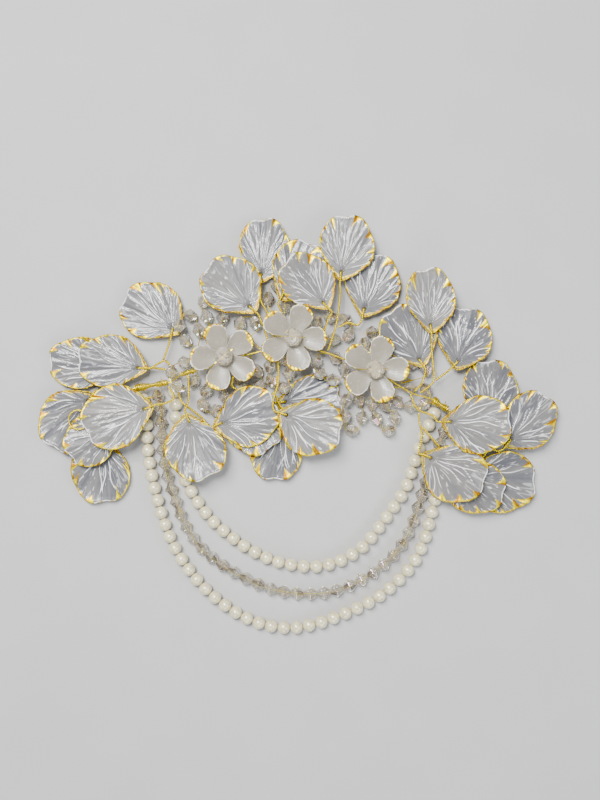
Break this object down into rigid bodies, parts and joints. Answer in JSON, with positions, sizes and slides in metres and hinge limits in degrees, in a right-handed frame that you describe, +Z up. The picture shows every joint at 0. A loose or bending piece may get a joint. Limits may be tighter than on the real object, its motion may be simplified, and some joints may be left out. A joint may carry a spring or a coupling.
{
  "type": "draped hair vine",
  "caption": "Wired hair vine: frosted petals and flowers round a gold wire spine, clusters of cut crystals, and three beaded strings hanging below in a deep curve.",
  "frame": {"origin": "centre of the bounding box, on the table that the piece lies on", "axes": "+X runs along the spine to the right end as seen from above with the strings below, +Y away from the strings, +Z up from the table"},
  "size_m": [0.228, 0.184, 0.0193],
  "materials": {
    "petal": "clear frosted acrylic with raised veins and a thin gold rim",
    "flower": "clear frosted acrylic with gold gathers along the rim",
    "centre_bead": "clear faceted glass",
    "crystal": "clear cut glass with a faint rainbow coating",
    "pearl": "glossy ivory pearl coating, finely mottled",
    "wire": "bright gold plated wire",
    "thread": "pale gold beading thread"
  },
  "bodies": {
    "root": {"petal_left_1": "petal", "petal_left_2": "petal", "petal_left_3": "petal", "petal_left_4": "petal", "petal_left_5": "petal", "petal_left_6": "petal", "petal_left_7": "petal", "petal_left_8": "petal", "petal_top_1": "petal", "petal_top_2": "petal", "petal_top_3": "petal", "petal_top_4": "petal", "petal_top_5": "petal", "petal_top_6": "petal", "petal_right_1": "petal", "petal_right_2": "petal", "petal_right_3": "petal", "petal_right_4": "petal", "petal_right_5": "petal", "petal_right_6": "petal", "petal_right_7": "petal", "petal_right_8": "petal", "petal_right_9": "petal", "petal_front_1": "petal", "petal_front_2": "petal", "petal_front_3": "petal", "petal_front_4": "petal", "petal_front_5": "petal", "flower_left": "flower", "flower_middle": "flower", "flower_right": "flower", "centre_bead_left": "centre_bead", "centre_bead_middle": "centre_bead", "centre_bead_right": "centre_bead", "flower_wires": "wire", "crystal_clusters_left": "crystal", "crystal_clusters_middle": "crystal", "crystal_clusters_right": "crystal", "cluster_wires_left": "wire", "cluster_wires_middle": "wire", "cluster_wires_right": "wire", "pearls_inner": "pearl", "crystals_middle": "crystal", "pearls_outer": "pearl", "thread_inner": "thread", "thread_middle": "thread", "thread_outer": "thread", "spine_wire": "wire", "coil_left": "wire", "coil_right": "wire", "stems_left": "wire", "stems_top": "wire", "stems_right": "wire", "stems_front": "wire"}
  },
  "joints": []
}
